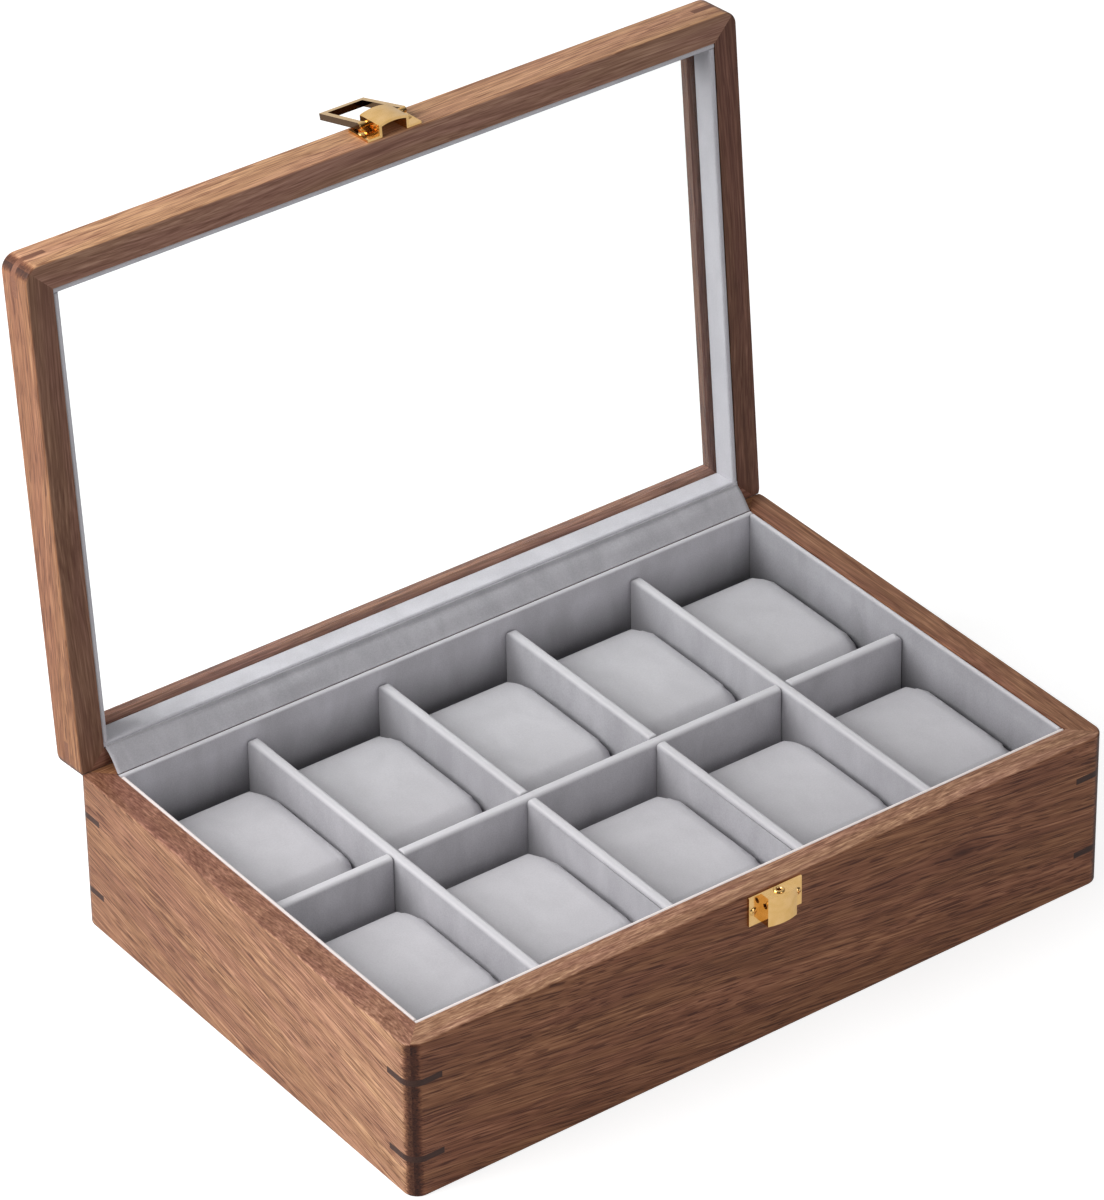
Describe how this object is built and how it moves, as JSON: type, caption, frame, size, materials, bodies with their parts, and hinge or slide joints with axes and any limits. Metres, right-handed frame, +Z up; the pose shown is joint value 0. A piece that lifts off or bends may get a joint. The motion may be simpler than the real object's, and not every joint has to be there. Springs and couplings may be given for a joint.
{
  "type": "watch box",
  "caption": "Wooden watch box with a glazed, hinged lid, a draw latch and velvet compartments that each hold a lift-out cushion.",
  "frame": {"origin": "centre of the tray's underside", "axes": "+X to the right-hand wall, +Y to the hinged back, +Z up"},
  "size_m": [0.32, 0.2692, 0.284],
  "materials": {
    "walnut": "oiled, open grain",
    "spline_wood": "oiled dark hardwood",
    "panel_wood": "plain ply",
    "felt": "matt felt",
    "velvet": "short-pile velvet on board",
    "cushion_velvet": "short-pile velvet over foam",
    "hinge_cloth": "short-pile velvet strip",
    "glass": "clear float glass",
    "brass": "polished, gold plated",
    "hinge_brass": "satin brass"
  },
  "bodies": {
    "base": {"base_front_wall": "walnut", "base_back_wall": "walnut", "base_left_wall": "walnut", "base_right_wall": "walnut", "base_panel": "panel_wood", "base_felt": "felt", "base_corner_keys": "spline_wood", "liner_floor": "velvet", "liner_front": "velvet", "liner_back": "velvet", "liner_left": "velvet", "liner_right": "velvet", "divider_centre": "velvet", "divider_cross_1": "velvet", "divider_cross_2": "velvet", "divider_cross_3": "velvet", "divider_cross_4": "velvet", "hinge_leaves_base": "hinge_brass", "hinge_pins": "hinge_brass", "hinge_screws_base": "hinge_brass", "hinge_cloth": "hinge_cloth", "strike_plate": "brass", "strike_screws": "brass", "strike_eyelet": "brass"},
    "lid": {"lid_front_rail": "walnut", "lid_back_rail": "walnut", "lid_left_rail": "walnut", "lid_right_rail": "walnut", "lid_corner_keys": "spline_wood", "glass_pane": "glass", "lid_liner_front": "velvet", "lid_liner_back": "velvet", "lid_liner_left": "velvet", "lid_liner_right": "velvet", "hinge_leaves_lid": "hinge_brass", "hinge_screws_lid": "hinge_brass", "latch_bracket": "brass", "latch_bracket_screws": "brass", "latch_eyelet": "brass"},
    "bail": {"latch_bail": "brass"},
    "pillow_1": {"cushion_1": "cushion_velvet"},
    "pillow_2": {"cushion_2": "cushion_velvet"},
    "pillow_3": {"cushion_3": "cushion_velvet"},
    "pillow_4": {"cushion_4": "cushion_velvet"},
    "pillow_5": {"cushion_5": "cushion_velvet"},
    "pillow_6": {"cushion_6": "cushion_velvet"},
    "pillow_7": {"cushion_7": "cushion_velvet"},
    "pillow_8": {"cushion_8": "cushion_velvet"},
    "pillow_9": {"cushion_9": "cushion_velvet"},
    "pillow_10": {"cushion_10": "cushion_velvet"}
  },
  "joints": [
    {"name": "lid_hinge", "type": "hinge", "parent": "base", "child": "lid", "pos_m": [0, 0.1032, 0.0682], "axis": [-1, 0, 0], "range_deg": [-94.5, 0], "deforming": ["hinge_cloth"]},
    {"name": "bail_pivot", "type": "hinge", "parent": "lid", "child": "bail", "pos_m": [0.002, 0.12944, 0.2805], "axis": [-1, 0, 0], "range_deg": [-192, 0]},
    {"name": "cushion_1_lift", "type": "slide", "parent": "base", "child": "pillow_1", "axis": [0, 0, 1], "range_m": [0, 0.09]},
    {"name": "cushion_2_lift", "type": "slide", "parent": "base", "child": "pillow_2", "axis": [0, 0, 1], "range_m": [0, 0.09]},
    {"name": "cushion_3_lift", "type": "slide", "parent": "base", "child": "pillow_3", "axis": [0, 0, 1], "range_m": [0, 0.09]},
    {"name": "cushion_4_lift", "type": "slide", "parent": "base", "child": "pillow_4", "axis": [0, 0, 1], "range_m": [0, 0.09]},
    {"name": "cushion_5_lift", "type": "slide", "parent": "base", "child": "pillow_5", "axis": [0, 0, 1], "range_m": [0, 0.09]},
    {"name": "cushion_6_lift", "type": "slide", "parent": "base", "child": "pillow_6", "axis": [0, 0, 1], "range_m": [0, 0.09]},
    {"name": "cushion_7_lift", "type": "slide", "parent": "base", "child": "pillow_7", "axis": [0, 0, 1], "range_m": [0, 0.09]},
    {"name": "cushion_8_lift", "type": "slide", "parent": "base", "child": "pillow_8", "axis": [0, 0, 1], "range_m": [0, 0.09]},
    {"name": "cushion_9_lift", "type": "slide", "parent": "base", "child": "pillow_9", "axis": [0, 0, 1], "range_m": [0, 0.09]},
    {"name": "cushion_10_lift", "type": "slide", "parent": "base", "child": "pillow_10", "axis": [0, 0, 1], "range_m": [0, 0.09]}
  ]
}
